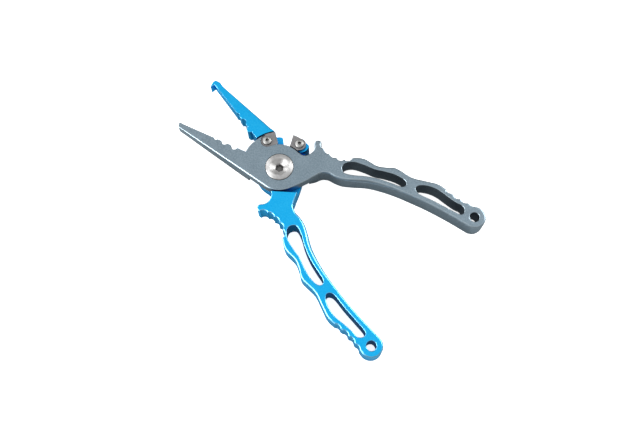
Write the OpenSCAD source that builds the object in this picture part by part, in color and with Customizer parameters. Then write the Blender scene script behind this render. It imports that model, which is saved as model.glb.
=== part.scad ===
// Fishing pliers: two lapped aluminium halves on one sprung pivot, with a pair of line-cutter blades.
// Frame: +Z up through the pivot, +X from the pivot towards the handles, z = 0 on the underside.
// Every outline is drawn for one half with the jaws shut on y = 0, then turned to its open place.

/* [Overall] */
// Thickness of both halves at the handles, mm
thick = 14.5; // [12:0.5:16]
// Full opening of the jaws, degrees
open_angle = 27.4; // [20:0.2:32]
// Angle the handles are set outwards from the grip line, degrees
handle_toe = 0.8; // [0:0.1:3]
// Gap between the two lap faces, mm
lap_gap = 0.3; // [0.2:0.1:0.6]

/* [Jaws] */
// Distance from the pivot to the square jaw tip, mm
jaw_reach = 73; // [65:0.5:80]
// Distance from the pivot to the hooked jaw tip, mm
hook_reach = 75.8; // [74:0.1:84]
// Width of a jaw at its tip, mm
tip_width = 3.1; // [2.5:0.1:5]
// Drop of the upper face between jaw root and tip, mm
tip_drop = 0.8; // [0:0.1:3]
// Rise of the lower face between jaw root and tip, mm
tip_rise = 6; // [2:0.1:7.5]
// Radius of the round lap boss, mm
boss_r = 15.7; // [14.5:0.1:17]
// Pitch of the fine grip grooves, mm
groove_pitch = 1.2; // [0.8:0.1:2]
// Depth of the fine grip grooves, mm
groove_depth = 0.3; // [0.1:0.05:0.5]

/* [Handles] */
// Radius of the rounded handle end, mm
end_r = 7.1; // [6:0.1:9]
// Radius of the lanyard hole, mm
lanyard_r = 3; // [2:0.1:4]
// Radius of each finger scallop, mm
scallop_r = 3; // [2:0.1:4]

/* [Pivot] */
// Radius of the pivot screw head, mm
head_r = 8.85; // [7:0.05:10]
// Radius of the pivot barrel, mm
barrel_r = 5; // [4:0.1:6]
// Outer radius of the plain bushes, mm
bush_r = 6; // [5.5:0.1:7]
// Wire radius of the opening spring, mm
wire_r = 0.45; // [0.3:0.05:0.6]
// Mean radius of the spring coil, mm
coil_r = 7.3; // [7:0.1:7.6]

/* [Cutter] */
// Outer radius swept by both blades, mm
blade_sweep = 24; // [22:0.5:25]
// Thickness of a blade, mm
blade_thick = 2; // [1.5:0.1:2.5]
// Radius of the blade screw head, mm
cap_r = 2.85; // [2.5:0.05:3.2]

/* [Hidden] */
$fn = 96;
eps = 0.01;
fit = 0.05;
half_open = open_angle / 2;
mid = thick / 2;
low_top = mid - lap_gap / 2;
up_floor = mid + lap_gap / 2;
knife_r = blade_sweep + 0.7;
seat_r = blade_sweep + 0.2;
wall_r = blade_sweep + 1.2;
jaw_tilt = asin(boss_r / sqrt(jaw_reach * jaw_reach + tip_width * tip_width)) - atan(tip_width / jaw_reach);
tangent = [-boss_r * sin(jaw_tilt), -boss_r * cos(jaw_tilt)];
wedge_x = -24;
root_x = 2;
step_x = -boss_r - 0.4;
big = 200;
end_c = [124.8, 21.1];
cbore_r = head_r + 0.25;
cbore_z = thick - 2;
foot_z = 1.3;
head_z = cbore_z + 0.4;
blade_z = thick - 2.4;
grey_screw = [-15.2, 12.8];
blue_screw = [-5.1, -19.7];
lug_c = blue_screw + [0, -0.9];
lug_r = 5.4;
edge_a = [-8, 14];
edge_b = [-12.6, 19.9];
stop_r = 12.6;
stop_pin_r = 1;
stop_ang = 176;
leg_up = 40;
leg_low = -110;
pocket_z = 3.2;
pocket_r = 8.3;

// Points of a smooth curve that passes through each control point except the first and last.
function bend(a, b, c, d, t) = 0.5 * (2 * b + (c - a) * t + (2 * a - 5 * b + 4 * c - d) * t * t
    + (3 * b - a - 3 * c + d) * t * t * t);
function curve(p, n) = concat(
    [for (i = [1 : len(p) - 3]) for (k = [0 : n - 1]) bend(p[i - 1], p[i], p[i + 1], p[i + 2], k / n)],
    [p[len(p) - 2]]);
function loop(p, n) = let (m = len(p))
    [for (i = [0 : m - 1]) for (k = [0 : n - 1])
        bend(p[(i + m - 1) % m], p[i], p[(i + 1) % m], p[(i + 2) % m], k / n)];

// Back of the handle: boss, thumb horn, scallop bed, two finger swells, scallop bed, rounded end.
horn = [[6, 14.7], [9, 13.8], [11.8, 14.4], [13.8, 16.6], [14.8, 19.4], [14.3, 22.2], [13.2, 24.2],
    [13.2, 26], [14.9, 27.4], [16.9, 27.1], [18.6, 25.6]];
bed_near = [[18.6, 25.6], [21.4, 23.5], [25.6, 22.1], [30.2, 21.5], [34.6, 22.1]];
swells = [[30, 20], [37, 22.8], [40.5, 26.1], [47, 28.2], [55.5, 27.2], [61.5, 28.6], [68, 30.8],
    [79, 29.2], [88, 30.7], [96, 32], [102.5, 30.8], [107, 29.4], [112.6, 28.4], [118, 28], [124.8, 28.2],
    [130, 28]];
// Palm side of the handle, from the rounded end back to the boss.
palm = [[130, 13.8], [124.8, 14], [110, 15.9], [95, 17.1], [80, 17.3], [68, 16.6], [56, 14.5], [46, 10.9],
    [40, 9.1], [35, 8.8], [30, 9.2], [26, 7.7], [23, 4], [19.3, -1.3], [15.4, -6.3], [11, -11],
    [6.6, -14.2], [2, -15.6], [-3, -15.5]];
slot_near = [[36.2, 17.4], [37.6, 20.7], [42, 23.2], [49, 24], [56, 24.1], [63, 25.5], [70, 26.2],
    [75.8, 25.3], [77.7, 22.9], [75.6, 20.6], [68, 20.1], [60, 19.3], [52, 17.4], [44, 14.6], [38.4, 14]];
slot_far = [[84.2, 23.4], [86.3, 26.4], [92, 28.1], [98, 28.1], [105, 26.4], [111, 25.1], [115.6, 24.6],
    [117.7, 21.6], [115.8, 19.1], [107, 19.6], [97, 20.4], [87.4, 20.8]];
near_scallops = [[20.2, 26.4], [23.6, 24.4], [27.9, 23.4], [32.4, 23.4], [36.3, 25]];
far_scallops = [[104.6, 32.4], [110, 30.9], [115.3, 30.3], [120.6, 30.3]];
// Line of the straight shoulder where each handle returns to full thickness.
shoulder = [[10.5, 13.4], [20.1, 1.7]];
// The lower half of the grey handle also steps back from the palm side here.
heel = [[25.6, 7.2], [22.6, 4.5], [19.4, 2], [15, 2], [15, -8], [30, -8], [30, 5]];
// Grip notches: x, radius, height of the centre above the grip line.
notches = [[-45.9, 1.45, 0.55], [-39.7, 2.05, 0.4]];
deep_notch = [-32.6, 2.25, 0.15];
tab = [[-21, -11], [-19.8, -13.4], [-18.3, -15], [-17.1, -14.9], [-12.2, -11.4]];
hook = [[-77, -4], [-hook_reach, -1.8], [-75.5, 0.2], [-74.7, 1.7], [-73.9, 2.8], [-73.2, 3.2], [-72, 3.4]];

// ---- Outlines, jaws shut ----
module sector_left() {
    polygon([[0, 0], [10, 17.5], [-big, big], [-big, -big], 3 * tangent]);
}

module handle_2d() {
    rotate(handle_toe) difference() {
        union() {
            polygon(concat([[-6, -6], [-6, 6], [4.5, 14.7]], curve(horn, 4), bed_near, curve(swells, 4),
                curve(palm, 4), [[-2.4, -15.4]]));
            translate(end_c) circle(r = end_r);
        }
        for (c = near_scallops) translate(c) circle(r = scallop_r, $fn = 48);
        for (c = far_scallops) translate(c) circle(r = scallop_r, $fn = 48);
    }
}

module openings_2d() {
    rotate(handle_toe) {
        polygon(loop(slot_near, 4));
        polygon(loop(slot_far, 4));
        translate(end_c) circle(r = lanyard_r);
    }
}

module boss_2d() {
    intersection() {
        circle(r = boss_r);
        sector_left();
    }
}

module grooves_2d() {
    for (x = [-69.5 : groove_pitch : -48.5])
        translate([x, 0]) polygon([[-0.35, eps], [0, -groove_depth], [0.35, eps]]);
}

module jaw_2d(reach) {
    difference() {
        polygon([[-reach, 0], [0, 0], tangent, [-reach + 0.9, tangent[1] + (tangent[0] + reach - 0.9)
            * tan(jaw_tilt)]]);
        grooves_2d();
        for (n = notches) translate([n[0], n[2]]) circle(r = n[1], $fn = 48);
    }
}

// Cutter seat beyond the boss, set back a little from the cutting edge.
module seat_2d() {
    intersection() {
        circle(r = seat_r);
        polygon([[0, 0], edge_a + [-0.6, -0.4], 2 * edge_b - edge_a + [-0.8, 0.2], [-big, big], [-big, 0]]);
    }
}

module upper_blade_2d(g) {
    translate(grey_screw) circle(r = 4.1 + g);
    intersection() {
        circle(r = knife_r + g);
        polygon([grey_screw, grey_screw + (4.1 + g) * [cos(45), -sin(45)], edge_a + [-fit, -1.4 * g],
            2 * edge_b - edge_a + [-fit, 0], 2 * grey_screw]);
    }
}

module lug_blade_2d() {
    difference() {
        union() {
            translate(blue_screw) circle(r = 4.1);
            intersection() {
                circle(r = blade_sweep);
                polygon([[edge_a[0] + fit, -edge_a[1]], [-3, -15], blue_screw + [3.8, 1.5],
                    blue_screw + [3.9, -1.6], blue_screw + [0.3, -4.3], 1.3 * blue_screw,
                    [2 * edge_b[0] - edge_a[0] + fit, edge_a[1] - 2 * edge_b[1]]]);
            }
        }
        circle(r = boss_r + 0.4);
    }
}

module lug_2d() {
    intersection() {
        circle(r = blade_sweep + 0.4);
        union() {
            translate(lug_c) circle(r = lug_r);
            polygon([[-7.2, -13.6], [2.5, -12], lug_c + [lug_r, 0], lug_c + [-1, -lug_r], [-11.3, -20.6]]);
        }
    }
}

// The part of the lug that stands up under the blade.
module raised_2d() {
    intersection() {
        lug_2d();
        union() {
            translate(lug_c) circle(r = lug_r);
            polygon([[-7.2, -13.6], [-3.6, -14.6], lug_c, [-11.3, -20.6]]);
        }
    }
}

// Clear way for the fishing line between the tab and the lug.
module throat_2d() {
    difference() {
        polygon([[-17.1, -14.9], [-12.2, -11.4], [-4, -13], [-7.2, -13.6], [-11.3, -20.6], [-15, -22]]);
        circle(r = boss_r);
    }
}

// Region of a half that is thinned to make the lap, up to the straight shoulder.
module behind_shoulder_2d() {
    rotate(handle_toe) polygon([shoulder[0] + 3 * (shoulder[0] - shoulder[1]),
        shoulder[1] + 3 * (shoulder[1] - shoulder[0]), [-big / 2, -big], [-big / 2, big]]);
}

// Slope x, height of it at the hooked tip; the wedge is what the slope takes off below z = 0.
module wedge(x, rise) {
    rotate([90, 0, 0]) linear_extrude(height = big, center = true)
        polygon([[x, 0], [-big / 2, (big / 2 + x) * rise / (x + hook_reach)], [-big / 2, -mid], [x, -mid]]);
}

module wedges(root) {
    wedge(root, tip_rise);
    translate([0, 0, thick]) mirror([0, 0, 1]) wedge(wedge_x, tip_drop);
}

// ---- The two halves ----
module grey_half() {
    color([0.47, 0.54, 0.59]) rotate(half_open) difference() {
        union() {
            linear_extrude(height = thick) {
                difference() {
                    jaw_2d(jaw_reach);
                    translate([deep_notch[0], deep_notch[2]]) circle(r = deep_notch[1]);
                }
                boss_2d();
                handle_2d();
            }
            translate([0, 0, up_floor]) linear_extrude(height = thick - up_floor) seat_2d();
        }
        translate([0, 0, -1]) linear_extrude(height = up_floor + 1) {
            intersection() {
                behind_shoulder_2d();
                translate([step_x, -big / 2]) square([big, big]);
            }
            rotate(handle_toe) polygon(heel);
        }
        translate([0, 0, -1]) linear_extrude(height = thick + 2) openings_2d();
        wedges(root_x);
        translate([0, 0, blade_z]) linear_extrude(height = big) upper_blade_2d(0.15);
        translate([grey_screw[0], grey_screw[1], up_floor - 1]) cylinder(r = 1.5 + fit, h = thick);
        translate([0, 0, up_floor - 1]) cylinder(r = bush_r + fit, h = thick);
        translate([0, 0, cbore_z]) cylinder(r = cbore_r, h = thick);
        rotate(leg_up) translate([coil_r, 0, up_floor - 1]) cylinder(r = wire_r + 0.15, h = 2.6, $fn = 24);
        rotate(stop_ang) translate([stop_r, 0, up_floor - 1]) cylinder(r = stop_pin_r + fit, h = 3.6, $fn = 32);
    }
}

module blue_half() {
    color([0.11, 0.66, 0.93]) rotate(-half_open) mirror([0, 1, 0]) difference() {
        union() {
            difference() {
                linear_extrude(height = thick) {
                    jaw_2d(hook_reach - 3);
                    polygon(concat([[-hook_reach + 4, -4], [-hook_reach + 0.3, -2.6]], curve(hook, 3),
                        [[-73.5, 0], [-68, 0], [-68, -3.8]]));
                    translate([deep_notch[0], -deep_notch[2]]) circle(r = deep_notch[1] - 0.2);
                    boss_2d();
                    handle_2d();
                }
                translate([0, 0, low_top]) linear_extrude(height = big) intersection() {
                    circle(r = wall_r);
                    behind_shoulder_2d();
                }
                translate([0, 0, -1]) linear_extrude(height = big) throat_2d();
                wedges(step_x);
            }
            linear_extrude(height = low_top) {
                polygon(tab);
                lug_2d();
            }
            linear_extrude(height = blade_z) difference() {
                raised_2d();
                circle(r = boss_r + 1.2);
            }
        }
        translate([0, 0, -1]) linear_extrude(height = thick + 2) openings_2d();
        translate([blue_screw[0], blue_screw[1], 2]) cylinder(r = 1.5 + fit, h = thick);
        translate([0, 0, -1]) cylinder(r = bush_r + fit, h = thick);
        translate([0, 0, -1]) cylinder(r = cbore_r, h = foot_z + 1);
        translate([0, 0, pocket_z]) cylinder(r = pocket_r, h = thick);
        rotate(-leg_low) translate([coil_r, 0, 2]) cylinder(r = wire_r + 0.15, h = 4, $fn = 24);
        stop_slot();
    }
}

// Arc slot that the stop pin runs in: one end at full open, the other just past shut.
module stop_slot() {
    a = -stop_ang - open_angle;
    translate([0, 0, low_top - 2.4]) {
        rotate(a - 0.5) rotate_extrude(angle = open_angle + 1)
            translate([stop_r - stop_pin_r - 0.15, 0]) square([2 * stop_pin_r + 0.3, 5]);
        for (e = [-0.5, open_angle + 0.5]) rotate(a + e) translate([stop_r, 0, 0])
            cylinder(r = stop_pin_r + 0.15, h = 5);
    }
}

// ---- Pivot ----
module pivot_screw() {
    color([0.75, 0.74, 0.72]) difference() {
        union() {
            rotate_extrude() polygon([[0, head_z], [head_r, head_z], [head_r, thick + 0.1],
                [head_r - 0.5, thick + 0.5], [6.4, thick + 1.1], [5.6, thick + 0.9], [0, thick + 0.9]]);
            translate([0, 0, 2.6]) cylinder(r = 3 - fit, h = head_z - 2.6 + eps);
        }
        translate([0, 0, thick - 1]) cylinder(r1 = 3.2, r2 = 5.6, h = 1.9 + eps);
        translate([0, 0, thick - 4.5]) cylinder(r = 2.8, h = 6, $fn = 6);
    }
}

module pivot_barrel() {
    color([0.72, 0.72, 0.71]) difference() {
        union() {
            cylinder(r = head_r, h = 0.9);
            cylinder(r = barrel_r, h = head_z - 0.1);
        }
        translate([0, 0, 2]) cylinder(r = 3, h = thick);
        for (s = [-1, 1]) translate([s * 6.6, 0, -1]) cylinder(r = 0.8, h = 1.7, $fn = 24);
    }
}

module ring(inner, outer, low, high) {
    translate([0, 0, low]) difference() {
        cylinder(r = outer, h = high - low);
        translate([0, 0, -1]) cylinder(r = inner, h = high - low + 2);
    }
}

module head_washer() {
    color([0.6, 0.6, 0.58]) ring(barrel_r + 0.15, head_r - 0.2, cbore_z, head_z);
}

module lap_washer() {
    color([0.93, 0.92, 0.88]) ring(9.2, 11.2, low_top, up_floor);
}

module foot_washer() {
    color([0.6, 0.6, 0.58]) ring(barrel_r + 0.15, head_r - 0.2, 0.9, foot_z);
}

module upper_bush() {
    color([0.72, 0.56, 0.3]) ring(barrel_r + fit, bush_r, up_floor, cbore_z - 0.1);
}

module lower_bush() {
    color([0.72, 0.56, 0.3]) ring(barrel_r + fit, bush_r, foot_z + 0.1, low_top);
}

module opening_spring() {
    color([0.5, 0.5, 0.52]) {
        for (i = [0 : 2]) translate([0, 0, pocket_z + 0.6 + i * 0.75]) rotate_extrude()
            translate([coil_r, 0]) circle(r = wire_r, $fn = 24);
        rotate(half_open + leg_up) translate([coil_r, 0, 5]) cylinder(r = wire_r, h = up_floor - 3.75, $fn = 24);
        rotate(leg_low - half_open) translate([coil_r, 0, 2.2]) cylinder(r = wire_r, h = 1.8, $fn = 24);
    }
}

module stop_pin() {
    color([0.6, 0.6, 0.6]) rotate(half_open + stop_ang) translate([stop_r, 0, low_top - 2])
        cylinder(r = stop_pin_r, h = up_floor - low_top + 4.2, $fn = 32);
}

// ---- Line cutter ----
module upper_blade() {
    color([0.5, 0.48, 0.47]) rotate(half_open) difference() {
        translate([0, 0, blade_z]) linear_extrude(height = blade_thick) upper_blade_2d(0);
        translate([grey_screw[0], grey_screw[1], 0]) cylinder(r = 1.5 + fit, h = big);
    }
}

module lug_blade() {
    color([0.5, 0.48, 0.47]) rotate(-half_open) mirror([0, 1, 0]) difference() {
        translate([0, 0, blade_z]) linear_extrude(height = blade_thick) lug_blade_2d();
        translate([blue_screw[0], blue_screw[1], 0]) cylinder(r = 1.5 + fit, h = big);
    }
}

module button_screw(length) {
    color([0.72, 0.72, 0.7]) difference() {
        union() {
            translate([0, 0, -length]) cylinder(r = 1.5, h = length + eps);
            rotate_extrude() intersection() {
                translate([0, -cap_r + 0.9]) circle(r = cap_r + 0.75);
                square([cap_r, 1.65]);
            }
        }
        translate([0, 0, 0.6]) cylinder(r = 1.15, h = 3, $fn = 6);
    }
}

module upper_blade_screw() {
    rotate(half_open) translate([grey_screw[0], grey_screw[1], blade_z + blade_thick])
        button_screw(blade_z + blade_thick - up_floor - 0.3);
}

module lug_blade_screw() {
    rotate(-half_open) mirror([0, 1, 0]) translate([blue_screw[0], blue_screw[1], blade_z + blade_thick])
        button_screw(10);
}

grey_half();
blue_half();
pivot_screw();
pivot_barrel();
head_washer();
lap_washer();
foot_washer();
upper_bush();
lower_bush();
opening_spring();
stop_pin();
upper_blade();
lug_blade();
upper_blade_screw();
lug_blade_screw();
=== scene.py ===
# %% [markdown]
# # Fishing pliers in two colours
# The pliers are two plates of aluminium, milled to shape, bead blasted and anodised: one slate
# grey, one azure. They lap over each other at a turned steel pivot, and carry two small carbide
# blades that cut fishing line. The engineering model is already there as exact solids. Blender's
# work is what the eye reads: rounded edges, metal that takes light softly, and a studio.

from math import asin, atan, cos, hypot, pi, radians, sin, sqrt, tan

import bmesh
import bpy
import numpy as np
from mathutils import Matrix, Vector
from mathutils.geometry import delaunay_2d_cdt


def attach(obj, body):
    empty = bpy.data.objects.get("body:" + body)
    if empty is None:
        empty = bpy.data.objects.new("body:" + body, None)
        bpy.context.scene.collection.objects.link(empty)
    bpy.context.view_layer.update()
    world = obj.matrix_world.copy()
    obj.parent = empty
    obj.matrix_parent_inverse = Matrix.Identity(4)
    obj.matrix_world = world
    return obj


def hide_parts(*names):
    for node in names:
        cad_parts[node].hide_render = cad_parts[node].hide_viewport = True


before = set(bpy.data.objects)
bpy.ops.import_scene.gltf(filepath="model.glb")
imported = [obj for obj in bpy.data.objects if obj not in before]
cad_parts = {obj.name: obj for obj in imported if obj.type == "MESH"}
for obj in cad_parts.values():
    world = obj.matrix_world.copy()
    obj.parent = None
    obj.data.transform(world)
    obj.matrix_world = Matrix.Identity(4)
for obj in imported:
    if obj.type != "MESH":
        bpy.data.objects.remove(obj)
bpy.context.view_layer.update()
MM = 0.001

# %% [markdown]
# ## Drawing outlines
# A milled plate is a flat drawing given thickness, so the drawing comes first. A few control
# points joined by a smooth curve give the long swells of the handles. Circles give the rest.
# Blender has a constrained triangulation that sorts out overlapping polygons. Keeping the
# triangles that lie in a wanted shape and in no unwanted one gives a two-dimensional boolean,
# and the edges used only once are its outline.


# %% Curves, circles and flat booleans
def curve(points, steps=6):
    """A smooth line through all the points but the first and last, which only steer it."""
    out = []
    p = [np.array(q, float) for q in points]
    for a, b, c, d in zip(p, p[1:], p[2:], p[3:]):
        for k in range(steps):
            t = k / steps
            out.append(0.5 * (2 * b + (c - a) * t + (2 * a - 5 * b + 4 * c - d) * t**2
                              + (3 * b - a - 3 * c + d) * t**3))
    out.append(p[-2])
    return [tuple(q) for q in out]


def closed(points, steps=6):
    """The same kind of curve, joined into a loop."""
    return curve([points[-1]] + list(points) + list(points[:2]), steps)[:-1]


def circle(x, y, r, n=48):
    return [(x + r * cos(2 * pi * k / n), y + r * sin(2 * pi * k / n)) for k in range(n)]


def turned(points, degrees):
    c, s = cos(radians(degrees)), sin(radians(degrees))
    return [(x * c - y * s, x * s + y * c) for x, y in points]


def area(loop):
    x, y = np.array(loop).T
    return 0.5 * float(np.sum(x * np.roll(y, -1) - y * np.roll(x, -1)))


def triangles(adds, cuts=(), only=()):
    """Points, and the triangles in any of adds, in none of cuts, and in every one of only."""
    points, faces = [], []
    for loop in [*adds, *cuts, *only]:
        loop = list(loop) if area(loop) > 0 else list(loop)[::-1]
        faces.append(list(range(len(points), len(points) + len(loop))))
        points += [Vector(q) for q in loop]
    co, _, tris, source, _, owners = delaunay_2d_cdt(points, [], faces, 1, 1e-4, True)
    first, last = len(adds), len(adds) + len(cuts)
    keep = [t for t, own in zip(tris, owners)
            if any(o < first for o in own) and not any(first <= o < last for o in own)
            and len([o for o in own if o >= last]) == len(only)]
    return [tuple(v) for v in co], keep, source


def outline(adds, cuts=(), only=()):
    """The loops round that region: outer ones run anticlockwise, holes clockwise."""
    co, tris, _ = triangles(adds, cuts, only)
    edges = {(t[i], t[(i + 1) % 3]) for t in tris for i in range(3)}
    follow = {a: b for a, b in edges if (b, a) not in edges}
    loops = []
    while follow:
        start, here = next(iter(follow.items()))
        loop = [start]
        del follow[start]
        while here != start:
            loop.append(here)
            here = follow.pop(here)
        loops.append([co[i] for i in loop])
    return [tidy_loop(l) for l in loops if abs(area(l)) > 0.02]


def tidy_loop(loop, gap=0.12):
    """Leaves out points closer together than gap, which would pinch a rounded edge."""
    out = [loop[0]]
    for q in loop[1:]:
        if hypot(q[0] - out[-1][0], q[1] - out[-1][1]) > gap:
            out.append(q)
    return out


def spaced(loop, step=1.6):
    """The same loop with extra points along its long straight runs."""
    out = []
    for a, b in zip(loop, loop[1:] + loop[:1]):
        n = max(1, int(hypot(b[0] - a[0], b[1] - a[1]) / step))
        out += [(a[0] + (b[0] - a[0]) * k / n, a[1] + (b[1] - a[1]) * k / n) for k in range(n)]
    return out


print("a ring of", len(outline([circle(0, 0, 5)], [circle(0, 0, 3)])), "loops")

# %% [markdown]
# ## Rounded plates
# Every edge of the real plates is rounded by about a millimetre, and those roundings carry the
# bright lines that make the metal look like metal. A bevel modifier needs even spacing and
# gives up where scallops and grooves crowd together. Here each outline point is moved inwards
# along its own normal instead, by no more than the largest circle that fits there, so that the
# rounding shrinks by itself in narrow places.


# %% Normals, room to round, and a rounded plate
def inward(loop):
    """For each point, the step that moves both neighbouring edges inwards by one."""
    p = np.array(loop)
    before, after = p - np.roll(p, 1, 0), np.roll(p, -1, 0) - p
    nb = np.stack([-before[:, 1], before[:, 0]], 1) / np.linalg.norm(before, axis=1)[:, None]
    na = np.stack([-after[:, 1], after[:, 0]], 1) / np.linalg.norm(after, axis=1)[:, None]
    mid = nb + na
    mid /= np.maximum(np.linalg.norm(mid, axis=1), 1e-6)[:, None]
    return mid / np.maximum((mid * na).sum(1), 0.45)[:, None]


def room(loop, step, everything):
    """How far each point can move before its circle would meet another part of the outline."""
    p = np.array(loop)
    w = everything[None] - p[:, None]
    dot, dist, m2 = (w * step[:, None]).sum(2), (w**2).sum(2), (step**2).sum(1)[:, None] - 1
    root = dot**2 - dist * m2
    ok = (dist > 0.02) & (dot > 0) & (root >= 0)
    far = np.where(ok, dist / np.maximum(dot + np.sqrt(np.maximum(root, 0)), 1e-9), 99.0)
    return far.min(1) * 0.97


def plate(loops, low, high, soft, steps=4, rounded=True):
    """A bmesh between two heights, rounded above and below by soft(x, y, in a hole), in mm."""
    bm = bmesh.new()
    loops = [spaced(l) for l in loops]
    everything = np.array([q for l in loops for q in l])
    caps = {True: ([], []), False: ([], [])}
    for loop in loops:
        step = inward(loop)
        limit = room(loop, step, everything)
        radius = np.array([soft(x, y, area(loop) < 0) for x, y in loop])
        rings = []
        last = steps if rounded else 0
        for upper in (False, True):
            for k in range(last + 1) if upper else range(last, -1, -1):
                inset = drop = radius * 0
                if rounded:
                    inset = np.minimum(radius * (1 - cos(k / steps * pi / 2)), limit)
                    drop = radius - np.sqrt(np.maximum(radius**2 - (radius - inset) ** 2, 0))
                q = np.array(loop) + step * inset[:, None]
                z = high - drop if upper else low + drop
                rings.append([bm.verts.new((x, y, h)) for (x, y), h in zip(q, z)])
                if k == last:
                    caps[upper][0].append([tuple(v) for v in q])
                    caps[upper][1].extend(rings[-1])
        for lower, upper in zip(rings, rings[1:]):
            for i in range(len(loop)):
                j = (i + 1) % len(loop)
                bm.faces.new((lower[i], lower[j], upper[j], upper[i]))
    for upper in (False, True):
        fill_cap(bm, caps[upper][0], caps[upper][1], upper)
    bmesh.ops.remove_doubles(bm, verts=bm.verts, dist=0.004)
    bmesh.ops.dissolve_degenerate(bm, edges=bm.edges, dist=0.001)
    return bm


def fill_cap(bm, loops, verts, upper):
    """Closes the top or the bottom of a plate with triangles between its outlines."""
    adds = [l for l in loops if area(l) > 0]
    holes = [l for l in loops if area(l) < 0]
    ordered = [v for l in adds for v in verts_of(loops, verts, l)]
    ordered += [v for l in holes for v in verts_of(loops, verts, l)[::-1]]
    co, tris, source = triangles(adds, holes)
    level = sum(v.co.z for v in verts) / len(verts)
    made = [ordered[s[0]] if s else bm.verts.new((*c, level)) for c, s in zip(co, source)]
    for t in tris:
        corner = [made[i] for i in (t if upper else reversed(t))]
        if len(set(corner)) == 3:
            try:
                bm.faces.new(corner)
            except ValueError:  # the same three corners already have a face
                pass


def verts_of(loops, verts, wanted):
    """The run of verts that belongs to one loop."""
    start = 0
    for l in loops:
        if l is wanted:
            return verts[start:start + len(l)]
        start += len(l)


# %% [markdown]
# ## The sizes the drawing needs
# These follow the engineering model: x runs from the pivot to the handles, with the jaws shut on
# y = 0. Both halves share one handle drawing, so it is written once and mirrored for the azure
# half. The handles are set outwards a little from the line of the jaws.

# %% Sizes and control points, in millimetres
THICK, LAP_LOW, LAP_HIGH = 14.5, 7.1, 7.4
TALL, FAR = 20, 200  # above every face, and outside every outline
HALF_OPEN, TOE = 13.7, 0.8  # degrees
BOSS_R, END_R, SCALLOP_R, LANYARD_R = 15.7, 7.1, 3, 3
HEAD_R, HEAD_GAP, HEAD_DEEP, HEAD_THICK = 8.85, 0.25, 2, 1.6
BUSH_BORE, SPRING_POCKET, SPRING_FLOOR, FOOT_DEEP = 6.05, 8.3, 3.2, 1.3
SWEEP = 24.0  # the circle that the outer edges of both blades run along
KNIFE_R, SEAT_R, WALL_R = SWEEP + 0.7, SWEEP + 0.2, SWEEP + 1.2
BLADE_END_R, BLADE_BORE, BUTTON_R, POCKET_GAP = 4.1, 1.55, 2.85, 0.15
LUG_R, POST_R = 5.4, 5.45
JAW_REACH, HOOK_REACH, TIP_WIDTH = 73.0, 75.8, 3.1
ROOT_GREY, ROOT_AZURE, TIP_RISE = 2.0, -BOSS_R - 0.4, 6.0  # lower faces
WEDGE_X, TIP_DROP = -24.0, 0.8  # upper faces
BLADE_Z, BLADE_THICK = THICK - 2.4, 2.0
END = (124.8, 21.1)
GREY_SCREW, BLUE_SCREW, LUG = (-15.2, 12.8), (-5.1, -19.7), (-5.1, -20.6)
EDGE_A, EDGE_B = (-8, 14), (-12.6, 19.9)
TILT = asin(BOSS_R / hypot(JAW_REACH, TIP_WIDTH)) - atan(TIP_WIDTH / JAW_REACH)
TANGENT = (-BOSS_R * sin(TILT), -BOSS_R * cos(TILT))

HORN = [(6, 14.7), (9, 13.8), (11.8, 14.4), (13.8, 16.6), (14.8, 19.4), (14.3, 22.2), (13.2, 24.2),
        (13.2, 26), (14.9, 27.4), (16.9, 27.1), (18.6, 25.6)]
BED = [(18.6, 25.6), (21.4, 23.5), (25.6, 22.1), (30.2, 21.5), (34.6, 22.1)]
SWELLS = [(30, 20), (37, 22.8), (40.5, 26.1), (47, 28.2), (55.5, 27.2), (61.5, 28.6), (68, 30.8),
          (79, 29.2), (88, 30.7), (96, 32), (102.5, 30.8), (107, 29.4), (112.6, 28.4), (118, 28),
          (124.8, 28.2), (130, 28)]
PALM = [(130, 13.8), (124.8, 14), (110, 15.9), (95, 17.1), (80, 17.3), (68, 16.6), (56, 14.5),
        (46, 10.9), (40, 9.1), (35, 8.8), (30, 9.2), (26, 7.7), (23, 4), (19.3, -1.3),
        (15.4, -6.3), (11, -11.25), (6.6, -14.27), (2, -15.6)]
SLOT_NEAR = [(36.2, 17.4), (37.6, 20.7), (42, 23.2), (49, 24), (56, 24.1), (63, 25.5), (70, 26.2),
             (75.8, 25.3), (77.7, 22.9), (75.6, 20.6), (68, 20.1), (60, 19.3), (52, 17.4),
             (44, 14.6), (38.4, 14)]
SLOT_FAR = [(84.2, 23.4), (86.3, 26.4), (92, 28.1), (98, 28.1), (105, 26.4), (111, 25.1),
            (115.6, 24.6), (117.7, 21.6), (115.8, 19.1), (107, 19.6), (97, 20.4), (87.4, 20.8)]
SCALLOPS = [(20.2, 26.4), (23.6, 24.4), (27.9, 23.4), (32.4, 23.4), (36.3, 25),
            (104.6, 32.4), (110, 30.9), (115.3, 30.3), (120.6, 30.3)]
SHOULDER = [(10.5, 13.4), (20.1, 1.7)]
HEEL = [(25.6, 7.2), (22.6, 4.5), (19.4, 2), (15, 2), (15, -8), (30, -8), (30, 5)]
print("jaw tilt", round(TILT * 180 / pi, 2), "degrees")

# %% [markdown]
# ## One drawing for both handles
# The back of the handle has a thumb horn, a bed of five scallops, two finger swells, and four
# more scallops before the rounded end. The scallops are circles taken out of the edge, the way
# an end mill would cut them.


# %% Handle, boss and jaw outlines
def handle_parts():
    body = [(-6, -6), (-6, 6), (4.5, 14.7)] + curve(HORN) + BED + curve(SWELLS) + curve(PALM)
    adds = [body + [(-2.4, -14)], circle(*END, END_R, 64)]
    cuts = [circle(x, y, SCALLOP_R, 40) for x, y in SCALLOPS]
    return [turned(l, TOE) for l in adds], [turned(l, TOE) for l in cuts]


def handle_openings():
    holes = [closed(SLOT_NEAR), closed(SLOT_FAR), circle(*END, LANYARD_R, 40)]
    return [turned(l, TOE) for l in holes]


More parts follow.
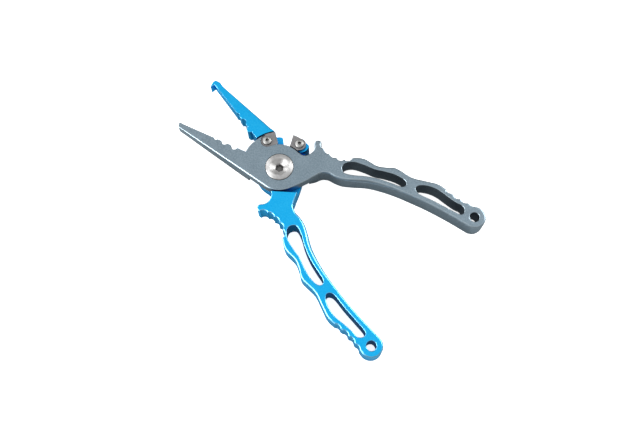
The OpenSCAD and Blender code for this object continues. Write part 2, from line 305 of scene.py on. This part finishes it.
def boss():
    arc = [(BOSS_R * cos(radians(a)), BOSS_R * sin(radians(a))) for a in range(60, 297, 4)]
    return [(0, 0)] + arc


def jaw(reach):
    end = -reach + 0.9
    return [(-reach, 0), (end, TANGENT[1] + (TANGENT[0] - end) * tan(TILT)), TANGENT, (0, 0)]


def grooves(wide=0.35, deep=0.3, pitch=1.2):
    """Fine V-shaped grooves across the gripping face, near the tip."""
    return [[(x - wide, 0.02), (x, -deep), (x + wide, 0.02)]
            for x in np.arange(-69.5, -48.4, pitch)]


NOTCHES = [circle(-45.9, 0.55, 1.45, 32), circle(-39.7, 0.4, 2.05, 32)]
GREY_NOTCH, AZURE_BUMP = circle(-32.6, 0.15, 2.25, 32), circle(-32.6, -0.15, 2.05, 32)
body_adds, body_cuts = handle_parts()
print("handle outline drawn from", sum(len(l) for l in body_adds), "points")

# %% [markdown]
# ## Milling the lap
# Each half is thinned where it crosses the other, and has pockets, bores and screw holes. Those
# are straight cuts with square edges, so they are made as a mill makes them: by taking a solid
# away. The exact boolean solver keeps the flat faces flat.


# %% Prisms, and taking them away
def prism(loops, low, high):
    return plate(loops, low, high, lambda x, y, hole: 0.0, rounded=False)


def as_object(bm, name):
    mesh = bpy.data.meshes.new(name)
    bmesh.ops.recalc_face_normals(bm, faces=bm.faces)
    bm.to_mesh(mesh)
    bm.free()
    obj = bpy.data.objects.new(name, mesh)
    bpy.context.scene.collection.objects.link(obj)
    return obj


def carve(obj, cuts):
    """Takes each prism (loops, low, high) away from obj for good."""
    cutters = [as_object(prism(*c), "cutter") for c in cuts]
    for c in cutters:
        m = obj.modifiers.new("cut", "BOOLEAN")
        m.operation, m.solver, m.object = "DIFFERENCE", "EXACT", c
    bpy.context.view_layer.update()
    graph = bpy.context.evaluated_depsgraph_get()
    mesh = bpy.data.meshes.new_from_object(obj.evaluated_get(graph))
    obj.modifiers.clear()
    obj.data = mesh
    for c in cutters:
        bpy.data.objects.remove(c)
    return obj


def thin_jaw(bm, root):
    """Slopes the upper and lower face of the jaw towards its tip."""
    for upper, start, change in ((True, WEDGE_X, -TIP_DROP), (False, root, TIP_RISE)):
        geom = bm.verts[:] + bm.edges[:] + bm.faces[:]
        bmesh.ops.bisect_plane(bm, geom=geom, plane_co=(start, 0, 0), plane_no=(1, 0, 0))
        for v in bm.verts:
            if (v.co.z > THICK / 2) == upper:
                v.co.z += max(0.0, start - v.co.x) * change / (HOOK_REACH + start)


def behind_shoulder():
    """Everything on the jaws' side of the straight shoulder where a half becomes thin."""
    (ax, ay), (bx, by) = SHOULDER
    return turned([(ax + 3 * (ax - bx), ay + 3 * (ay - by)), (-100, FAR), (-100, -FAR),
                   (bx + 3 * (bx - ax), by + 3 * (by - ay))], TOE)


def finish_half(obj, mirrored, body, angle):
    """Millimetres to metres, turned to the open pose, smooth except at real corners."""
    place = Matrix.Rotation(radians(angle), 4, "Z") @ Matrix.Diagonal((MM, MM, MM, 1))
    if mirrored:
        place = place @ Matrix.Diagonal((1, -1, 1, 1))
    obj.data.transform(place)
    if mirrored:
        obj.data.flip_normals()
    dress(obj, 28)
    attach(obj, body)
    return obj


def dress(obj, corner):
    """Smooth shading with sharp edges above the corner angle, weighted towards large faces."""
    obj.data.shade_smooth()
    obj.data.set_sharp_from_angle(angle=radians(corner))
    w = obj.modifiers.new("weighted normals", "WEIGHTED_NORMAL")
    w.keep_sharp, w.weight = True, 60


print("shoulder at", [round(v, 1) for v in behind_shoulder()[0]])

# %% [markdown]
# ## Where edges are soft
# The outside of the handles is rounded most, the scallops and the lightening slots less, and
# the gripping faces hardly at all, because sharp edges hold a hook or a split shot better.


# %% Edge softness
OUTER = ([-68, -3, 4, 20, 26, 54, 84], [0.6, 1.6, 0.7, 0.7, 1.2, 2.7, 1.2])


def softness(x, y, hole):
    """The rounding, in mm, at a point of the outline."""
    if hole:
        return 0.6
    if x < -23 and y > -2.6 and (x > -72 or y < 0):  # gripping face
        return 0.2
    if x < -68:  # tip of the jaw
        return 0.45
    if -24 < x < -4 and y > 9:  # seat of the cutter
        return 0.35
    if x < 9 and y > 9:  # boss, on the side of the horn
        return 0.8
    if 12 < x < 38 and y > 18 or 103 < x < 122 and y > 26:  # scallops
        return 0.9
    if y < 20 and x < 84:  # back of the jaw, boss and palm side
        return float(np.interp(x, *OUTER))
    return 1.25


def softness_azure(x, y, hole):
    """The same, but crisp round the lug and where the boss meets the horn."""
    return 0.35 if -24 < x < 2 and y < -11 or -4 < x < 9 < y else softness(x, y, hole)


print("rounding runs from 0.2 to", max(OUTER[1]), "mm")

# %% [markdown]
# ## The grey half
# Its jaw is full thickness, its boss only the upper half of it, and under the palm the lower
# half steps back at a heel. Beyond the boss stands the seat of the cutter, with a pocket for
# the blade, and the round head of the pivot sinks into a counterbore.


# %% The grey half
def upper_blade_outline(grow):
    """Round end under the screw, straight cutting edge, outer edge on the swept circle."""
    (sx, sy), (ax, ay), (bx, by) = GREY_SCREW, EDGE_A, EDGE_B
    r, s = BLADE_END_R + grow, sqrt(0.5)
    wedge = [(sx, sy), (sx + r * s, sy - r * s), (ax - 0.05, ay - 1.4 * grow),
             (2 * bx - ax - 0.05, 2 * by - ay), (2 * sx, 2 * sy)]
    return outline(within(wedge, KNIFE_R + grow) + [circle(sx, sy, r, 48)])


def within(loop, radius):
    """The part of a loop that lies inside a circle about the pivot."""
    return outline([loop], only=[circle(0, 0, radius, 180)])


def grey_half():
    (x_a, y_a), (x_b, y_b) = EDGE_A, EDGE_B
    seat = within([(0, 0), (x_a - 0.6, y_a - 0.4), (2 * x_b - x_a - 0.8, 2 * y_b - y_a + 0.2),
                   (-90, 90), (-90, 0)], SEAT_R)
    loops = outline(body_adds + [boss(), jaw(JAW_REACH)] + seat,
                    body_cuts + handle_openings() + NOTCHES + grooves() + [GREY_NOTCH])
    bm = plate(loops, 0, THICK, softness)
    thin_jaw(bm, ROOT_GREY)
    under_jaw = [(-FAR, -FAR), (ROOT_AZURE, -FAR), (ROOT_AZURE, 0), (-FAR, 0)]
    lap = outline(outline([behind_shoulder()], [under_jaw]) + [turned(HEEL, TOE)])
    cuts = [(lap, -1, LAP_HIGH), (upper_blade_outline(POCKET_GAP), BLADE_Z, TALL),
            ([circle(0, 0, BUSH_BORE, 64)], 6, TALL),
            ([circle(0, 0, HEAD_R + HEAD_GAP, 96)], THICK - HEAD_DEEP, TALL),
            ([circle(*GREY_SCREW, BLADE_BORE, 32)], 6, TALL)]
    return finish_half(carve(as_object(bm, "grey_plate"), cuts), False, "grey", HALF_OPEN)


grey = grey_half()
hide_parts("grey_half")
print("grey half", len(grey.data.polygons), "faces")

# %% [markdown]
# ## The azure half
# The same handle, drawn once more and mirrored. Its jaw is a little longer and curls round the
# grey tip as a small hook. Under the grey cutter it carries a tab and a lug, and the lug holds
# the second blade level with the first.


# %% The azure half
HOOK = [(-77, -4), (-75.8, -1.8), (-75.5, 0.2), (-74.7, 1.7), (-73.9, 2.8), (-73.2, 3.2),
        (-72, 3.4)]
TAB = [(-21, -11), (-19.8, -13.4), (-18.3, -15), (-17.1, -14.9), (-12.2, -11.4)]
THROAT = [(-17.1, -14.9), (-12.2, -11.4), (-4, -13), (-7.2, -13.6), (-11.3, -20.6), (-15, -22)]


def lug():
    """The round lug and the web that joins it to the boss."""
    x, y = LUG
    web = [(-7.2, -13.6), (2.5, -12), (x + LUG_R, y), (x - 1, y - LUG_R), (-11.3, -20.6)]
    return within(outline([web, circle(x, y, LUG_R)])[0], SWEEP + 0.4)


def raised_lug():
    """Stands a hair wider than the lug itself, so that no two walls fall in one plane."""
    post = outline([[(-7.3, -13.5), (-3.6, -14.6), LUG, (-11.4, -20.6)], circle(*LUG, POST_R)])
    return outline(post, [circle(0, 0, BOSS_R + 1.2, 120)], [circle(0, 0, SWEEP + 0.5, 180)])


def lug_blade_outline():
    """Straight edge like the first blade's, outer edge on the swept circle, inner edge clear."""
    (x, y), (ax, ay), (bx, by) = BLUE_SCREW, EDGE_A, EDGE_B
    web = [(ax + 0.05, -ay), (-3, -15), (x + 3.8, y + 1.5), (x + 3.9, y - 1.6),
           (x + 0.3, y - 4.3), (1.3 * x, 1.3 * y), (2 * bx - ax + 0.05, ay - 2 * by)]
    return outline(within(web, SWEEP) + [circle(x, y, BLADE_END_R)],
                   [circle(0, 0, BOSS_R + 0.4, 120)])


def grown(loops):
    """A little larger all round, so that two cuts side by side leave no skin between them."""
    return [[tuple(np.array(q) - 0.02 * s) for q, s in zip(l, inward(l))] for l in loops]


def azure_half():
    hook = [(-72.6, -4), (-75.5, -2.6)] + curve(HOOK, 4) + [(-73.5, 0), (-68, 0), (-68, -3.8)]
    throat = outline([THROAT], [circle(0, 0, BOSS_R, 120)])
    loops = outline(body_adds + [boss(), jaw(HOOK_REACH - 3), hook, AZURE_BUMP, TAB] + lug(),
                    body_cuts + handle_openings() + NOTCHES + grooves())
    bm = plate(loops, 0, THICK, softness_azure)
    thin_jaw(bm, ROOT_AZURE)
    swept = within(behind_shoulder(), WALL_R)
    raised = raised_lug()
    cuts = [(outline(swept, raised), LAP_LOW, TALL), (grown(raised), BLADE_Z, TALL),
            (outline(throat, lug() + [TAB]), -1, TALL),
            ([circle(0, 0, SPRING_POCKET, 64)], SPRING_FLOOR, TALL),
            ([circle(0, 0, BUSH_BORE, 64)], -1, TALL),
            ([circle(0, 0, HEAD_R + HEAD_GAP, 96)], -1, FOOT_DEEP),
            ([circle(*BLUE_SCREW, BLADE_BORE, 32)], 2, TALL)]
    return finish_half(carve(as_object(bm, "azure_plate"), cuts), True, "blue", -HALF_OPEN)


azure = azure_half()
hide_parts("blue_half")
print("azure half", len(azure.data.polygons), "faces")

# %% [markdown]
# ## The blades
# Two small flat plates of sintered carbide, ground along one straight edge. They are the same
# kind of plate as the halves, only thinner and sharper: a rounding of an eighth of a millimetre
# is enough to catch a line of light.


# %% Blades
def blade(name, loops, hole, body, angle, mirrored, node):
    bm = plate(outline(loops, [circle(*hole, BLADE_BORE, 32)]), BLADE_Z, BLADE_Z + BLADE_THICK,
               lambda x, y, in_hole: 0.13, steps=2)
    obj = finish_half(as_object(bm, name), mirrored, body, angle)
    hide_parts(node)
    return obj


grey_blade = blade("grey_side_blade", upper_blade_outline(0), GREY_SCREW, "grey", HALF_OPEN,
                   False, "upper_blade")
azure_blade = blade("azure_side_blade", lug_blade_outline(), BLUE_SCREW, "blue", -HALF_OPEN,
                    True, "lug_blade")
print("blades", len(grey_blade.data.polygons), "and", len(azure_blade.data.polygons), "faces")

# %% [markdown]
# ## Turned screws
# The pivot and the two blade screws are lathe work: a profile spun round an axis. Each has a
# hexagon socket, so the spun rings change to six-sided ones where the socket starts. The
# profile runs from the bottom of the socket outwards and down to the end of the shank.


# %% Screws
def round_corners(profile, r, steps=3):
    """Replaces each inner corner of an (r, z) profile by a short curve."""
    out = [profile[0]]
    for a, b, c in zip(profile, profile[1:], profile[2:]):
        a, b, c = (Vector(q) for q in (a, b, c))
        reach = min(r, (a - b).length * 0.45, (c - b).length * 0.45)
        p, q = b + (a - b).normalized() * reach, b + (c - b).normalized() * reach
        for k in range(steps + 1):
            t = k / steps
            out.append(tuple(p * (1 - t) ** 2 + b * 2 * t * (1 - t) + q * t**2))
    return out + [profile[-1]]


def turned_screw(name, hexagon, floor, mouth, profile, at, body, node, sides=96):
    """A screw spun round at; its socket, hexagon wide from centre to corner, is floor to mouth."""
    bm = bmesh.new()

    def ring(r, z, six=False):
        verts = []
        for k in range(sides):
            a = 2 * pi * k / sides
            radius = r * cos(pi / 6) / cos((a % (pi / 3)) - pi / 6) if six else r
            verts.append(bm.verts.new((at[0] + radius * cos(a), at[1] + radius * sin(a), z)))
        return verts

    rings = [ring(hexagon - 0.05, floor + 0.05, True), ring(hexagon, floor + 0.15, True),
             ring(hexagon, mouth - 0.08, True), ring(hexagon + 0.07, mouth, True)]
    rings += [ring(r, z) for r, z in profile]
    bm.faces.new(rings[0])
    bm.faces.new(rings[-1][::-1])
    for a, b in zip(rings, rings[1:]):
        for i in range(sides):
            j = (i + 1) % sides
            bm.faces.new((a[i], b[i], b[j], a[j]))
    bmesh.ops.scale(bm, vec=(MM, MM, MM), verts=bm.verts)
    obj = as_object(bm, name)
    dress(obj, 34)
    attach(obj, body)
    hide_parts(node)
    return obj


SHANK_R = 2.95
dished = [(3.2, THICK - 1), (5.6, THICK + 0.85), (6.4, THICK + 1.05), (HEAD_R - 0.5, THICK + 0.5),
          (HEAD_R, THICK + 0.1), (HEAD_R, THICK - HEAD_THICK), (SHANK_R, THICK - HEAD_THICK)]
pivot = turned_screw("pivot_head", 2.8, THICK - 4.5, THICK - 1.7,
                     round_corners(dished, 0.5, 5) + [(SHANK_R, 2.7), (2.6, 2.6)],
                     (0, 0), "grey", "pivot_screw", 144)


def blade_screw(name, place, angle, mirrored, shank, body, node):
    """A button head that stands on a blade, with its shank down to the height shank."""
    top = BLADE_Z + BLADE_THICK
    mouth = top + 1.62
    (x, y), = turned([(place[0], -place[1] if mirrored else place[1])], angle)
    dome = [(BUTTON_R * sin(a), top + 1.65 - BUTTON_R * (1 - cos(a)) * 0.42)
            for a in np.linspace(0.6, 1.5, 8)]
    foot = [(BUTTON_R, top + 0.25), (BUTTON_R - 0.1, top), (1.5, top), (1.5, shank)]
    obj = turned_screw(name, 1.15, top + 0.6, mouth, [(1.32, mouth)] + dome + foot, (x, y), body,
                       node)
    return obj


grey_button = blade_screw("grey_blade_button", GREY_SCREW, HALF_OPEN, False, LAP_HIGH + 0.3,
                          "grey", "upper_blade_screw")
azure_button = blade_screw("azure_blade_button", BLUE_SCREW, -HALF_OPEN, True, 4.1, "blue",
                           "lug_blade_screw")
print("pivot head", round(2 * HEAD_R, 1), "mm across")

# %% [markdown]
# ## Blasted and anodised aluminium
# Glass beads leave a skin of tiny dents. Anodising then grows a hard clear layer over them and
# fills it with dye. The result takes light like tinted satin metal: full metallic, a middling
# roughness, and a dye that shows in the reflection's colour. Two sizes of noise tell it: a very
# fine one as bump for the dents, and a broad weak one in the roughness, so that no surface is
# perfectly even. Worn dye is paler on the rounded edges, which face partly up and partly
# sideways, so the height of the surface normal finds them. A Bevel node softens the shading
# where a cut left a square edge.
# In slots and hollows the dyed colour is darkened by ambient occlusion: painted shade.


# %% Node helpers
MIX_A, MIX_B, MIX_OUT = 6, 7, 2  # the colour sockets of a Mix node


def nodes_of(name):
    mat = bpy.data.materials.new(name)
    mat.use_nodes = True
    tree = mat.node_tree
    return mat, tree, tree.nodes["Principled BSDF"]


def add(tree, kind, **inputs):
    """Adds a node, with settings given by attribute name or socket name."""
    node = tree.nodes.new("ShaderNode" + kind)
    for key, value in inputs.items():
        key = key.replace("_", " ")
        if key in node.inputs:
            node.inputs[key].default_value = value
        else:
            setattr(node, key.replace(" ", "_"), value)
    return node


def link(tree, a, b):
    tree.links.new(a, b)


def noise(tree, per_mm, detail=2.0):
    """Noise with about that many bumps to the millimetre, fixed to the object."""
    coords = tree.nodes.get("coords") or add(tree, "TexCoord", name="coords")
    n = add(tree, "TexNoise", Scale=per_mm * 1000, Detail=detail)
    link(tree, coords.outputs["Object"], n.inputs["Vector"])
    return n.outputs["Fac"]


def ramp(tree, source, low, high, a, b):
    """Maps source from low..high to a..b."""
    m = add(tree, "MapRange")
    for i, v in zip(range(1, 5), (low, high, a, b)):
        m.inputs[i].default_value = v
    link(tree, source, m.inputs[0])
    return m.outputs[0]


def on_roundings(tree, strength):
    """strength on the rounded upper edges, 0 on flat faces and upright walls."""
    facing = add(tree, "NewGeometry")
    split = add(tree, "SeparateXYZ")
    link(tree, facing.outputs["Normal"], split.inputs[0])
    both = add(tree, "Math", operation="MULTIPLY")
    link(tree, ramp(tree, split.outputs["Z"], 0.98, 0.9, 0.0, strength), both.inputs[0])
    link(tree, ramp(tree, split.outputs["Z"], 0.2, 0.5, 0.0, 1.0), both.inputs[1])
    return both.outputs[0]


def painted_shade(tree, colour, reach_mm, deep):
    """Painted shade: multiplies a colour, plain or from a socket, by deep in closed-in spots."""
    open_sky = add(tree, "AmbientOcclusion", samples=8, Distance=reach_mm * MM)
    dark = add(tree, "Mix", data_type="RGBA", blend_type="MULTIPLY")
    dark.inputs[MIX_B].default_value = (*deep, 1)
    if isinstance(colour, tuple):
        dark.inputs[MIX_A].default_value = (*colour, 1)
    else:
        link(tree, colour, dark.inputs[MIX_A])
    link(tree, ramp(tree, open_sky.outputs["AO"], 0.25, 0.85, 1.0, 0.0), dark.inputs[0])
    return dark.outputs[MIX_OUT]


print("a Mix node is fed at sockets", MIX_A, "and", MIX_B)


# %% Anodised finish
def anodised(name, colour, pale, worn, deep, coat):
    """Satin dyed metal: pale specks in the colour, worn on roundings, painted shade deep in slots.
    """
    rough = 0.36
    mat, tree, metal = nodes_of(name)
    metal.inputs["Metallic"].default_value = 1.0
    metal.inputs["Coat Weight"].default_value = coat
    metal.inputs["Specular Tint"].default_value = (*worn, 1)
    metal.inputs["Coat Roughness"].default_value = 0.22
    metal.inputs["Coat IOR"].default_value = 1.6
    mix = add(tree, "Mix", data_type="RGBA")
    mix.inputs[MIX_A].default_value, mix.inputs[MIX_B].default_value = (*colour, 1), (*pale, 1)
    cloud = ramp(tree, noise(tree, 0.09, 3), 0.35, 0.7, 0.0, 0.16)
    speck = ramp(tree, noise(tree, 1.1, 3), 0.35, 0.65, 0.0, 0.4)
    both = add(tree, "Math", operation="ADD")
    link(tree, cloud, both.inputs[0])
    link(tree, speck, both.inputs[1])
    link(tree, both.outputs[0], mix.inputs[0])
    wear = add(tree, "Mix", data_type="RGBA")
    wear.inputs[MIX_B].default_value = (*worn, 1)
    link(tree, mix.outputs[MIX_OUT], wear.inputs[MIX_A])
    link(tree, on_roundings(tree, 0.45), wear.inputs[0])
    # Painted shade: where ambient occlusion finds a slot or hollow, the colour is multiplied by
    # deep.
    link(tree, painted_shade(tree, wear.outputs[MIX_OUT], 9, deep), metal.inputs["Base Color"])
    link(tree, ramp(tree, noise(tree, 0.25, 3), 0.3, 0.7, rough - 0.03, rough + 0.04),
         metal.inputs["Roughness"])
    bevel = add(tree, "Bevel", samples=8, Radius=0.18 * MM)
    bump = add(tree, "Bump", Strength=0.32, Distance=0.03 * MM)
    link(tree, noise(tree, 5.5, 2), bump.inputs["Height"])
    link(tree, bevel.outputs[0], bump.inputs["Normal"])
    link(tree, bump.outputs[0], metal.inputs["Normal"])
    return mat


def wears(obj, mat):
    obj.data.materials.clear()
    obj.data.materials.append(mat)


# Each finish's fourth colour is the painted shade multiplied in within slots and hollows.
slate = anodised("slate anodising", (0.18, 0.245, 0.295), (0.36, 0.46, 0.53), (0.55, 0.66, 0.72),
                 (0.5, 0.5, 0.55), 0.3)
azure_dye = anodised("azure anodising", (0.004, 0.42, 0.86), (0.03, 0.55, 0.95), (0.5, 0.85, 1.0),
                     (0.5, 0.5, 0.8), 0.12)
wears(grey, slate)
wears(azure, azure_dye)
print("finishes:", slate.name, "and", azure_dye.name)

# %% [markdown]
# ## Turned steel
# The facing cut on a lathe leaves a spiral of very fine grooves. Light spreads across them and
# not along them, which gives the bow tie of light seen on every turned disc. An anisotropic
# metal with its tangent running round the axis does that, and a ring-shaped wave as faint bump
# breaks it up the way real tool marks do.


# %% Steel, carbide and bronze
def steel(name, colour, rough, spin=0.0, rings=0.0, grain=6.0, depth=0.25):
    """Bare metal; spin stretches its highlights round the pivot's axis, rings adds tool marks."""
    mat, tree, metal = nodes_of(name)
    metal.inputs["Metallic"].default_value = 1.0
    metal.inputs["Anisotropic"].default_value = spin
    mix = add(tree, "Mix", data_type="RGBA")
    mix.inputs[MIX_A].default_value = (*[c * 0.8 for c in colour], 1)
    mix.inputs[MIX_B].default_value = (*colour, 1)
    link(tree, ramp(tree, noise(tree, 0.6, 3), 0.3, 0.7, 0, 1), mix.inputs[0])
    # Painted shade: nearly black where ambient occlusion finds a hollow, such as the socket.
    base = painted_shade(tree, mix.outputs[MIX_OUT], 4, (0.02, 0.02, 0.02))
    link(tree, base, metal.inputs["Base Color"])
    link(tree, ramp(tree, noise(tree, 1.2, 3), 0.3, 0.7, rough * 0.85, rough * 1.15),
         metal.inputs["Roughness"])
    height = noise(tree, grain, 3)
    if rings:
        wave = add(tree, "TexWave", wave_type="RINGS", rings_direction="Z", Scale=rings * 160,
                   Distortion=1.5, Detail=2.0)
        link(tree, tree.nodes["coords"].outputs["Object"], wave.inputs["Vector"])
        height = wave.outputs["Fac"]
    if spin:
        around = add(tree, "Tangent", direction_type="RADIAL", axis="Z")
        metal.inputs["Anisotropic Rotation"].default_value = 0.25
        link(tree, around.outputs[0], metal.inputs["Tangent"])
    bevel = add(tree, "Bevel", samples=6, Radius=0.1 * MM)
    bump = add(tree, "Bump", Strength=depth, Distance=0.02 * MM)
    link(tree, height, bump.inputs["Height"])
    link(tree, bevel.outputs[0], bump.inputs["Normal"])
    link(tree, bump.outputs[0], metal.inputs["Normal"])
    return mat


wears(pivot, steel("turned steel", (0.66, 0.655, 0.65), 0.53, spin=0.7, rings=3, depth=0.01))
button_steel = steel("button screw steel", (0.45, 0.45, 0.44), 0.55, grain=2, depth=0.03)
wears(grey_button, button_steel)
wears(azure_button, button_steel)
carbide = steel("ground carbide", (0.3, 0.295, 0.3), 0.42, grain=5, depth=0.4)
wears(grey_blade, carbide)
wears(azure_blade, carbide)
bronze = steel("bush bronze", (0.6, 0.4, 0.2), 0.35)
plain_steel = steel("washer steel", (0.6, 0.6, 0.58), 0.32)
barrel_steel = steel("turned barrel", (0.68, 0.67, 0.65), 0.28, spin=0.7, rings=4)
wire = steel("spring wire", (0.45, 0.45, 0.47), 0.3)
for node, finish in (("pivot_barrel", barrel_steel), ("head_washer", plain_steel),
                     ("foot_washer", plain_steel), ("upper_bush", bronze), ("lower_bush", bronze),
                     ("opening_spring", wire), ("stop_pin", plain_steel)):
    wears(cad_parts[node], finish)
print("steel finishes:", len(bpy.data.materials), "materials in all")

# %% [markdown]
# ## The slide washer
# The only plastic in the pivot is a thin ring between the two halves. It is milky, a little
# waxy, and has faint uneven marks in its tone and sheen.

# %% Slide washer
mat, tree, wax = nodes_of("milky acetal")
tone = add(tree, "Mix", data_type="RGBA")
tone.inputs[MIX_A].default_value = (0.74, 0.71, 0.63, 1)
tone.inputs[MIX_B].default_value = (0.86, 0.84, 0.78, 1)
link(tree, ramp(tree, noise(tree, 0.8, 4), 0.3, 0.7, 0, 1), tone.inputs[0])
link(tree, tone.outputs[MIX_OUT], wax.inputs["Base Color"])
link(tree, ramp(tree, noise(tree, 2, 3), 0.3, 0.7, 0.35, 0.5), wax.inputs["Roughness"])
wears(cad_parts["lap_washer"], mat)
print("slide washer:", mat.name)

# %% [markdown]
# ## Floor and studio
# The floor is a plain white sheet. Metal shows what surrounds it, so the light is mostly
# surroundings: a sky that is bright overhead and dark towards the horizon, which keeps the tops
# clear and the side walls deep. The floor is left out of mirror reflections for the same reason.
# A second sheet just under it, grey and seen only in reflections, gives the walls the little
# light that a real table would; its grey is darkened by painted shade where the pliers cover it.
# Soft boxes round the near, far and left sides draw the bright lines along the rounded edges.

# %% Floor
bpy.ops.mesh.primitive_plane_add(size=30, location=(0, 0, 0))
floor = bpy.context.object
floor.name = "white_sheet"
mat, tree, paper = nodes_of("white sheet")
paper.inputs["Base Color"].default_value = (0.9, 0.9, 0.9, 1)
paper.inputs["Roughness"].default_value = 0.9
paper.inputs["Emission Color"].default_value = (1, 1, 1, 1)
paper.inputs["Emission Strength"].default_value = 0.85
wears(floor, mat)
floor.visible_glossy = floor.visible_shadow = False
under = floor.copy()
under.data = floor.data.copy()
under.name, under.location.z = "bounce_sheet", -0.0003
bpy.context.scene.collection.objects.link(under)
mat, tree, paper = nodes_of("bounce sheet")
# Painted shade: the sheet's grey is darkened where ambient occlusion finds the pliers over it.
link(tree, painted_shade(tree, (0.4, 0.4, 0.4), 14, (0.3, 0.3, 0.3)), paper.inputs["Base Color"])
paper.inputs["Roughness"].default_value = 0.9
wears(under, mat)
under.visible_glossy, under.visible_camera, under.visible_diffuse = True, False, False
print("floor", [round(v, 2) for v in floor.dimensions])

# %% Sky
world = bpy.data.worlds.new("studio")
bpy.context.scene.world = world
world.use_nodes = True
tree = world.node_tree
coords = add(tree, "TexCoord")
split = add(tree, "SeparateXYZ")
link(tree, coords.outputs["Generated"], split.inputs[0])
sky = add(tree, "ValToRGB")
# position from straight down (0) to straight up (1), and the brightness there
SKY = [(0.0, 0.05), (0.5, 0.06), (0.62, 0.12), (0.78, 0.35), (0.92, 0.88), (1.0, 1.0)]
steps = sky.color_ramp.elements
while len(steps) < len(SKY):
    steps.new(0.5)
for e, (at, level) in zip(steps, SKY):
    e.position, e.color = at, (level, level, level, 1)
link(tree, ramp(tree, split.outputs["Z"], -1, 1, 0, 1), sky.inputs[0])
link(tree, sky.outputs[0], tree.nodes["Background"].inputs["Color"])
print("sky steps:", len(SKY))


# %% Soft boxes
def soft_box(name, place, size, power, target=(0.03, 0, 0)):
    data = bpy.data.lights.new(name, "AREA")
    data.shape, data.size, data.size_y, data.energy = "RECTANGLE", size[0], size[1], power
    lamp = bpy.data.objects.new(name, data)
    lamp.location = place
    lamp.rotation_euler = (Vector(target) - Vector(place)).to_track_quat("-Z", "Y").to_euler()
    bpy.context.scene.collection.objects.link(lamp)
    return lamp


soft_box("near strip", (-0.5, -0.8, 0.36), (0.75, 0.4), 12)
soft_box("far strip", (0.36, 0.85, 0.55), (0.6, 0.3), 7)
soft_box("left strip", (-0.9, 0.0, 0.4), (0.3, 0.5), 3)

# %% [markdown]
# ## Camera and last lines
# A long view from above the near side. The view transform is plain, so that a colour that is
# mixed in a material comes out as the same colour.

# %% Camera
STAND, LOOK_AT, ROLL = (0.1372, -0.122, 0.4673), (0.0393, -0.007, 0.0119), -0.0155
lens = bpy.data.cameras.new("camera")
lens.lens, lens.sensor_width, lens.clip_start = 43.1, 36.0, 0.01
camera = bpy.data.objects.new("camera", lens)
camera.location = STAND
aim = Vector(LOOK_AT) - camera.location
tilt = Matrix.Rotation(ROLL, 3, "Z")
camera.rotation_euler = (aim.to_track_quat("-Z", "Y").to_matrix() @ tilt).to_euler()
bpy.context.scene.collection.objects.link(camera)
bpy.context.scene.camera = camera
bpy.context.scene.view_settings.view_transform = "Standard"
print("camera", round(camera.location.length, 3), "m from the pivot")
